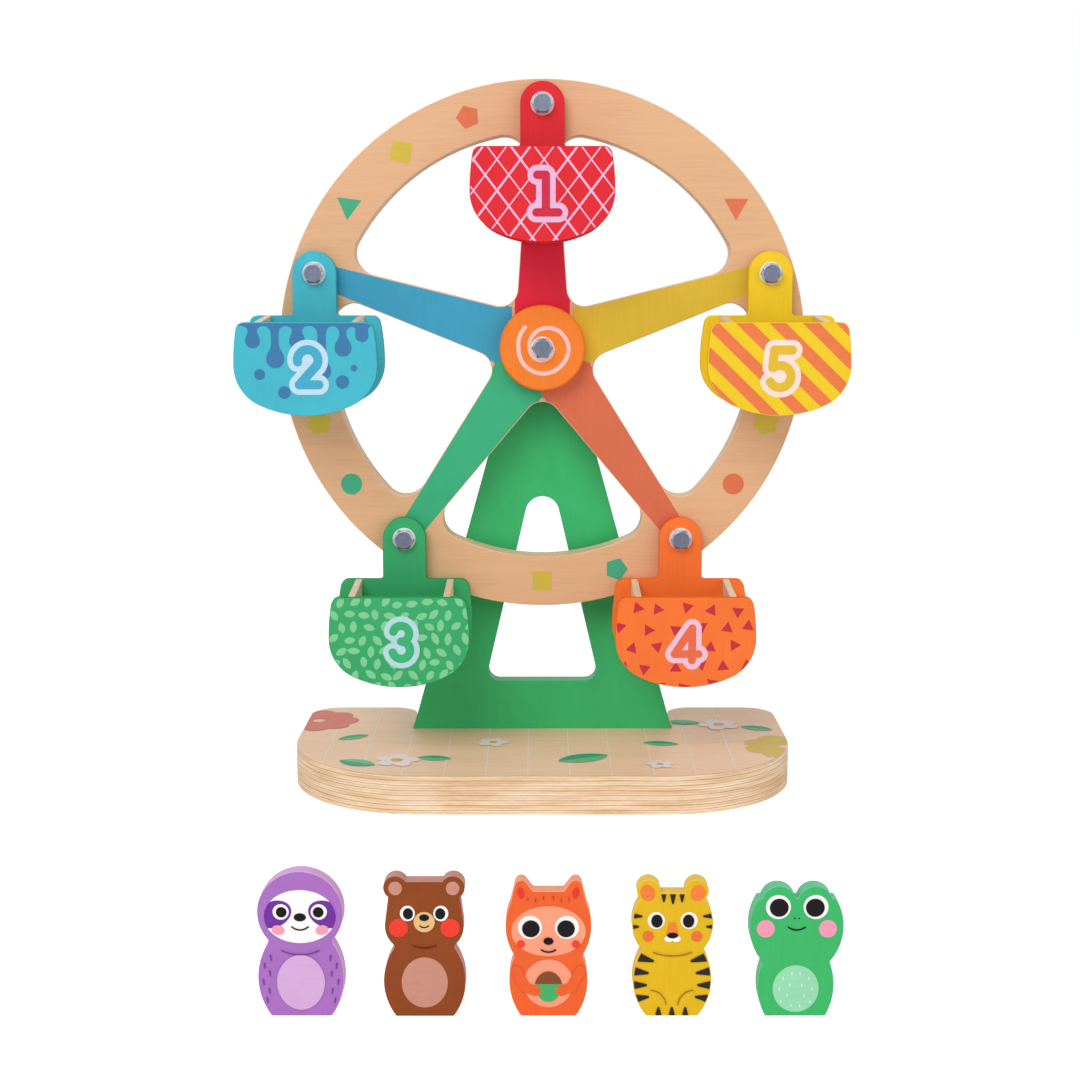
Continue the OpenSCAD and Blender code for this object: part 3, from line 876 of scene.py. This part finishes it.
# Numbers: the width of the strokes, the place of the middle on the panel, and the strokes about it
DIGITS = [
    (3.9, (0, -21.8), [[(-2.4, 8.6), (1.6, 8.6), (1.6, -8.6)], [(-2.8, -8.6), (7.4, -8.6)]]),
    (4.3, (1.3, -21.1), [arc(0, 3.4, 4.85, 190, -32) + [(-4.2, -8.2), (5, -8.2)]]),
    (4.1, (0.9, -21.6), [arc(0.2, 4.1, 3.85, 165, -90) + arc(0.2, -4, 4.25, 90, -165)]),
    (3.8, (0.3, -22.6), [[(2.7, -8), (2.7, 7.8), (-5.7, -4.9), (5.8, -4.9)]]),
    (4.3, (0.5, -21.8), [[(5.3, 8.8), (-3, 8.8), (-3.8, 0.6)] + arc(-0.3, -3.6, 5.2, 125, -150)])]


def panel_place(i):
    """The middle of a front panel's top edge, the front of the panel, and the box of its face about that point."""
    low, high = corners("gondola_%d_front" % i)
    x0, z0 = (low[0] + high[0]) / 2, high[2]
    return x0, low[1], z0, (low[0] - x0, low[2] - z0, high[0] - x0, 0)


def panel_face():
    """The face of a front panel about the middle of its top edge. All five are alike."""
    x0, y, z0, _ = panel_place(1)
    loops = face_loops("gondola_1_front", "Y", y)
    return face_field([[(x - x0, z - z0) for x, z in loop] for loop in loops])


PANEL_FACE = kept(grown(panel_face(), -THIN_EASE))


def print_basket(i):
    """The pattern, the pale edge and the number on a basket's front panel."""
    x0, y, z0, box = panel_place(i)
    width, (dx, dz), strokes = DIGITS[i - 1]
    digit = moved(either(*[stroke(points, width) for points in strokes]), dx, dz)
    halo = either(grown(digit, HALO_W), disc(dx, dz - FILL_DROP, FILL_R))
    layers = [("pattern", *PATTERNS[i - 1]), ("number_edge", halo, NUMBER_EDGE[i - 1]),
              ("number", digit, NUMBER_INK[i - 1])]
    print_layers("print_%d_" % i, layers, PANEL_FACE, box, "gondola_%d" % i, frame_slot("gondola_%d_front" % i),
                 on_front(y, x0, z0))


# Prints of the wheel, about its axle

RIM_ORANGE, RIM_YELLOW, RIM_GREEN = "E0754F", "D3BA45", "45AE83"
# The spiral: its ink, width and step, the disc that stays clear for the bolt, and its angles and radii
SPIRAL_INK, SPIRAL_W, SPIRAL_STEP, SPIRAL_CLEAR_R = "F9C4BE", 2.0, 5, 3.4
SPIRAL = [(0, 5.2), (90, 6.0), (180, 6.3), (225, 7.4), (270, 9.5), (315, 11.6), (360, 12.9), (450, 12.5),
          (540, 11.7), (590, 13.2)]
# The flowers on the rim: petals, their radius, how far they are from the middle, its radius, and their turn
BLOB_PETALS, BLOB_PETAL_R, BLOB_REACH, BLOB_R, BLOB_TURN = 6, 2.3, 4.2, 3.2, 15
# The spokes' paint: half the first one's width at the hub, how far it spreads from the axle, the bare gap beside
# the first one, the radius of the bare spots between spokes, and the room round a spoke's ends
FIRST_HALF_W, SPREAD_R, BARE_GAP, BARE_CORNER_R, SPOKE_ROOM = 13.6, 30.9, 1.4, 1.6, 22


def on_rim(angle):
    """The point of the rim's middle circle at an angle."""
    c, s = cos_sin(angle)
    return RIM_MID_R * c, RIM_MID_R * s


def blob(x, z):
    """A flower of round petals."""
    petals = around(x, z, BLOB_REACH, [BLOB_TURN + 360 / BLOB_PETALS * k for k in range(BLOB_PETALS)])
    return either(disc(x, z, BLOB_R), *[disc(*petal, BLOB_PETAL_R) for petal in petals])


# Shapes on the rim by colour
RIM_SHAPES = [
    ("orange", RIM_ORANGE, [regular(*on_rim(108), 5.9, 5, 184), regular(*on_rim(36), 7, 3, 30),
                            disc(*on_rim(-35.5), 5.3)]),
    ("yellow", RIM_YELLOW, [regular(*on_rim(126), 6.9, 4, 33.4), regular(*on_rim(270), 6.9, 4, 45),
                            blob(*on_rim(198.5)), blob(*on_rim(-18.5))]),
    ("green", RIM_GREEN, [regular(*on_rim(144), 7, 3, 143), disc(*on_rim(215.5), 5.3),
                          regular(*on_rim(288.5), 5.9, 5, 0)])]


def bare_corners():
    """The spots at the inner ends of the wheel's windows that the paint leaves bare."""
    turns = [90 + 360 / COUNT * (k + 0.5) for k in range(COUNT)]
    ends = around(0, 0, FILLET_AT - FILLET_R - WHEEL_EASE, turns)
    return either(*[disc(*end, BARE_CORNER_R) for end in ends])


BARE_CORNERS = bare_corners()


def spoke_field(i):
    """One spoke's paint: it spreads round the hub to its neighbours, tapers to a round end about the pivot, and
    leaves the bolt's hole free. The first spoke runs straight to the hub cap over its neighbours."""
    c, s = cos_sin(90 + 360 / COUNT * (i - 1))
    px, pz = RIM_MID_R * c, RIM_MID_R * s
    end_r = SPOKE_HALF_W - SPOKE_TAPER * RIM_MID_R - WHEEL_EASE
    sector_c, sector_s = cos_sin(180 / COUNT)
    round_u, round_v = FILLET_AT * sector_c, FILLET_AT * sector_s

    def straight(u, v):
        return np.maximum.reduce([v - (SPOKE_HALF_W - SPOKE_TAPER * u - WHEEL_EASE), u - RIM_MID_R, -u])

    def spread(u, v, half):
        fillet = FILLET_R + WHEEL_EASE - np.hypot(u - round_u, v - round_v)
        return np.maximum.reduce([half, fillet, np.hypot(u, v) - SPREAD_R, -u])

    def first_spoke(u, v):
        return np.minimum(straight(u, v), spread(u, v, v - FIRST_HALF_W))

    def field(x, z):
        u, w = x * c + z * s, z * c - x * s
        v = np.abs(w)
        if i > 1:
            side = w if i == 2 else -w if i == COUNT else v
            half = side * sector_c - u * sector_s
            whole = np.minimum(np.maximum(straight(u, v), half), spread(u, v, half))
            whole = np.maximum(whole, BARE_GAP - first_spoke(z, np.abs(x)))
        else:
            whole = first_spoke(u, v)
        from_pivot = np.hypot(x - px, z - pz)
        whole = np.minimum(whole, from_pivot - end_r)
        return np.maximum.reduce([whole, PIVOT_HOLE_R - from_pivot, HUB_CAP_R - np.hypot(x, z),
                                  -BARE_CORNERS(x, z)])
    box = (min(0, px) - SPOKE_ROOM, min(0, pz) - SPOKE_ROOM, max(0, px) + SPOKE_ROOM, max(0, pz) + SPOKE_ROOM)
    return field, box


def print_wheel():
    front = on_front(WHEEL_LOW[1], 0, AXLE_Z)
    for i in BASKETS:
        field, box = spoke_field(i)
        print_on("paint_spoke_%d" % i, field, box, "wheel", "birch_plywood", SPOKE_COATS[i - 1], front)
    box = (-WHEEL_R, -WHEEL_R, WHEEL_R, WHEEL_R)
    for tag, code, shapes in RIM_SHAPES:
        print_on("print_rim_" + tag, either(*shapes), box, "wheel", "birch_plywood", ink_of(code), front,
                 step=WIDE_STEP)
    angles = np.arange(SPIRAL[0][0], SPIRAL[-1][0] + 1, SPIRAL_STEP)
    radii = np.interp(angles, *zip(*SPIRAL))
    points = [(r * math.cos(math.radians(a)), -r * math.sin(math.radians(a))) for a, r in zip(angles, radii)]
    spiral = without(stroke(points, SPIRAL_W), disc(0, 0, SPIRAL_CLEAR_R))
    box = (-HUB_CAP_R, -HUB_CAP_R, HUB_CAP_R, HUB_CAP_R)
    print_on("print_hub_spiral", spiral, box, "wheel", "hub_orange", ink_of(SPIRAL_INK),
             on_front(corners("hub_cap")[0][1], 0, AXLE_Z))


# Prints of the base: a white grid, and flowers and leaves laid over it

# The grid: its pitch, where a column and a row are, and the widths of columns and rows
GRID_PITCH, GRID_X, GRID_Y, COLUMN_W, ROW_W = 20, -7, -46, 0.55, 0.45
GRID_INK, GRID_FAINT = "F7EADF", "EBD3BE"
LEAF_LIGHT, LEAF_DARK = "66C68A", "34A585"
PETAL, HEART = "F3E9EC", "D6B24A"
YELLOW_PETAL, CORAL_PETAL = "D8BE58", "DF7C6C"
# Shares of a flower's reach: how far its petals' middles are out, their half length and half width, and its heart
PETAL_OUT, PETAL_LONG, PETAL_WIDE, HEART_R = 0.58, 0.43, 0.38, 0.27
PETAL_SOFT = 0.4
# Each leaf: its middle, length, width and turn
LEAVES = [(20, -36, 27, 14, 24), (-90, -44, 20, 11, 155), (-53, -36, 17, 8.5, -8), (112, 21, 17, 8.5, -24),
          (75, 33, 19, 9.5, 170), (60, -9, 18, 8, -10), (-97, 3, 17, 7.5, 32)]
# Each daisy: its middle, the reach of its petals, and its turn
DAISIES = [(-71, -40, 11, 10), (93, 28, 11, 40), (-25, -7, 8, 0), (57, -47, 7, 25)]
# The two large flowers that the base's edge cuts off: their name, colour, middle, reach and turn
BIG_FLOWERS = [("yellow", YELLOW_PETAL, 122, -14, 21, 20), ("coral", CORAL_PETAL, -119, 37, 21, 0)]
BIG_PETALS = 8


def daisy(x, y, reach, turn, petals=5):
    """The petals of a flower."""
    turns = [turn + 360 * k / petals for k in range(petals)]
    middles = around(x, y, reach * PETAL_OUT, turns)
    return melted(PETAL_SOFT, *[oval(*middle, reach * PETAL_LONG, reach * PETAL_WIDE, way)
                                for middle, way in zip(middles, turns)])


def leaf_half(x, y, length, width, turn):
    """The half of a leaf on one side of its midrib."""
    return both(lens(x, y, length, width, turn), beyond(x, y, turn))


def print_base():
    low, high = corners("base_plate")
    face = kept(grown(face_field(face_loops("base_plate", "Z", BASE_TOP)), -EASE))
    columns = [band(GRID_X + GRID_PITCH * k, 0, 90, COLUMN_W) for k in range(-6, 8)]
    rows = [band(0, GRID_Y + GRID_PITCH * k, 0, ROW_W) for k in range(-3, 6)]
    layers = [("rows", either(*rows), GRID_FAINT), ("columns", either(*columns), GRID_INK)]
    layers += [("flower_" + tag, daisy(*flower, BIG_PETALS), code) for tag, code, *flower in BIG_FLOWERS]
    layers += [("leaves", either(*[lens(*leaf) for leaf in LEAVES]), LEAF_LIGHT),
               ("leaf_halves", either(*[leaf_half(*leaf) for leaf in LEAVES]), LEAF_DARK),
               ("petals", either(*[daisy(*flower) for flower in DAISIES]), PETAL),
               ("hearts", either(*[disc(x, y, reach * HEART_R) for x, y, reach, _ in DAISIES]), HEART)]
    print_layers("print_base_", layers, face, (*low[:2], *high[:2]), "base", "birch_plywood", on_top(BASE_TOP),
                 WIDE_STEP)


# Figures: painted sides, and faces and bellies drawn about the middle of the foot

FIGURES = ["sloth", "bear", "squirrel", "tiger", "frog"]
FIGURE_FRONT = ["AB71C1", "90461B", "F0642C", "E4B818", "3DB969"]
FIGURE_SIDE = ["DDA9E0", "C98F8A", "FBA886", "F2CB57", "67CB9B"]
DARK, WHITE = "0F0B0C", "FDFBFA"
BEAR_PALE, SQUIRREL_PALE, TIGER_ORANGE = "CB917E", "FBA180", "F5823B"
# The roughness of the paint in front and at the sides
FRONT_ROUGH, SIDE_ROUGH = 0.5, 0.45
# The share of a tapering stripe's width at its tip, and how far it is rounded
WEDGE_TIP, WEDGE_ROUND = 0.12, 0.2


def smile(z, reach, drop, width=0.55):
    """A calm mouth: one shallow curve."""
    r = (reach ** 2 + drop ** 2) / 2 / drop
    half = math.degrees(math.asin(reach / r))
    return stroke(arc(0, z + r - drop, r, -90 - half, -90 + half), width)


def dashes(places, length, turn, width=0.45):
    """Short strokes of fur, leaning outwards on both sides."""
    c, s = [v * length / 2 for v in cos_sin(turn)]
    return mirrored(either(*[stroke([(x - c, z - s), (x + c, z + s)], width) for x, z in places]))


def wedge(x, z, length, width, turn):
    """A tapering stripe from its broad root at a point."""
    c, s = cos_sin(turn)
    root, tip = width / 2, width * WEDGE_TIP / 2
    flat = [(0, -root), (length, -tip), (length, tip), (0, root)]
    return grown(outline([(x + u * c - v * s, z + u * s + v * c) for u, v in flat]), WEDGE_ROUND)


SLOTH_MASK = oval(0, 35.6, 12.3, 9.4)
NUT = oval(0, 10.4, 4.3, 5.2)
# The layers of each figure in their order: a tag, a field and a colour
FIGURE_PRINTS = [
    [("face", SLOTH_MASK, WHITE),
     ("patches", both(SLOTH_MASK, mirrored(oval(9.0, 36.4, 6.4, 4.6, -24))), "7430A0"),
     ("whites", mirrored(disc(6.5, 37.3, 2.75)), WHITE),
     ("dark", either(mirrored(disc(6.3, 37.2, 1.85)), oval(0, 35.4, 2.1, 1.45), smile(32.0, 2.8, 1.1)), DARK),
     ("cheeks", mirrored(oval(7.5, 30.9, 2.2, 1.7, 12)), "F4A3B7"),
     ("belly", oval(0, 12.2, 8.2, 9.8), "D9AEDD"),
     ("marks", either(smile(23.6, 6.4, 1.5, 0.4),
                      dashes([(10.2, 21.0), (12.3, 18.2), (10.6, 15.4), (12.8, 12.4), (10.8, 9.2), (11.6, 5.8)],
                             1.8, 82)), "7A3C9E")],
    [("ears", mirrored(oval(9.8, 45.6, 2.3, 2.4)), BEAR_PALE),
     ("belly", oval(0, 12.1, 7.9, 9.0), BEAR_PALE),
     ("cheeks", mirrored(disc(8.8, 31.6, 3.3)), "F2402F"),
     ("muzzle", oval(0, 33.7, 3.6, 3.6), "E8BE82"),
     ("whites", mirrored(oval(5.7, 36.8, 2.55, 2.75)), WHITE),
     ("dark", either(mirrored(oval(5.5, 36.7, 1.75, 2.0)), oval(0, 35.3, 1.7, 1.2),
                     smile(32.4, 1.5, 0.6, 0.45)), DARK),
     ("chin", smile(25.4, 4.0, 0.9, 0.4), "5F2A12")],
    [("ears", mirrored(lens(9.35, 44.0, 4.6, 2.5, 80)), "E3392D"),
     ("face", oval(0, 30.4, 12.7, 8.9), SQUIRREL_PALE),
     ("chest", oval(0, 11.8, 8.4, 8.6), SQUIRREL_PALE),
     ("whites", mirrored(disc(6.3, 31.8, 4.1)), WHITE),
     ("cheeks", mirrored(disc(9.4, 25.9, 1.4)), "EE4733"),
     ("nut", NUT, "43B56A"),
     ("nut_cap", both(grown(NUT, 0.45), beyond(0, 11.6, 0)), "874A2A"),
     ("arms", mirrored(stroke([(11.0, 16.4), (7.8, 10.4), (4.4, 9.2)], 3.6)), FIGURE_FRONT[2]),
     ("dark", either(mirrored(disc(6.0, 31.4, 3.0)), oval(0, 27.0, 1.7, 1.3), smile(23.9, 2.4, 0.8)), DARK),
     ("brow", dashes([(1.7, 42.4), (4.4, 41.5), (7.0, 41.9)], 1.1, 95, 0.4), "C93C22")],
    [("ears", mirrored(oval(8.6, 44.0, 2.5, 2.9, -18)), TIGER_ORANGE),
     ("whites", mirrored(oval(5.6, 34.2, 2.9, 3.0)), WHITE),
     ("cheeks", mirrored(disc(8.3, 28.6, 1.9)), "F0703A"),
     ("muzzle", mirrored(oval(1.25, 27.7, 1.5, 1.1)), WHITE),
     ("nose", grown(outline([(-1.5, 29.3), (-0.7, 33.0), (0.7, 33.0), (1.5, 29.3)]), 0.5), TIGER_ORANGE),
     ("stripes", either(mirrored(either(wedge(3.1, 43.9, 2.9, 1.5, -90), wedge(14.6, 36.0, 4.1, 2.0, 183),
                                        wedge(14.6, 32.0, 3.0, 1.7, 178), wedge(12.8, 21.6, 6.6, 3.5, 196),
                                        wedge(14.6, 16.4, 6.4, 3.5, 188), wedge(14.6, 11.2, 5.8, 3.3, 180),
                                        wedge(13.6, 6.2, 5.6, 3.1, 172), wedge(4.6, 0.6, 2.6, 1.7, 90))),
                        wedge(0, 43.9, 3.6, 1.8, -90), wedge(0, 0.6, 2.6, 1.7, 90)), "2A211E"),
     ("dark", either(mirrored(oval(5.4, 34.1, 1.95, 2.3)), oval(0, 29.0, 1.9, 1.05)), DARK),
     ("lines", either(smile(23.0, 6.6, 1.3, 0.4), mirrored(stroke(arc(7.6, 3.8, 5.6, 175, 95), 0.4))), "A5761A")],
    [("whites", mirrored(disc(6.4, 39.0, 4.25)), WHITE),
     ("cheeks", mirrored(disc(10.6, 31.3, 3.1)), "F49DB9"),
     ("belly", oval(0, 9.9, 7.9, 8.4), "9ADDB4"),
     ("dark", either(mirrored(disc(6.15, 38.8, 3.2)), mirrored(disc(0.75, 35.0, 0.28)),
                     smile(31.9, 2.9, 1.0)), DARK),
     ("flecks", dashes([(1.4, 15.4), (4.4, 13.6), (2.0, 11.2), (5.6, 9.8), (2.9, 7.4), (5.0, 5.2), (1.5, 3.8)],
                       0.9, 88, 0.32), "E9F7EE")]]


def make_figure(k):
    node = "figure_" + FIGURES[k]
    front = paint(node + "_front", FIGURE_FRONT[k], FRONT_ROUGH)
    side = paint(node + "_side", FIGURE_SIDE[k], SIDE_ROUGH)
    eased(node, node, node, THIN_EASE, "Y", [front, side])
    low, high = corners(node)
    x0 = (low[0] + high[0]) / 2
    loops = face_loops(node, "Y", low[1])
    face = kept(grown(face_field([[(x - x0, z) for x, z in loop] for loop in loops]), -THIN_EASE))
    box = (low[0] - x0, low[2], high[0] - x0, high[2])
    print_layers("print_%s_" % FIGURES[k], FIGURE_PRINTS[k], face, box, node, node, on_front(low[1], x0),
                 FIGURE_STEP)


make_stage()
make_world()
make_lamps()
make_camera()
make_frame()
for number in BASKETS:
    make_basket(number)
    print_basket(number)
print_wheel()
print_base()
for number in range(len(FIGURES)):
    make_figure(number)
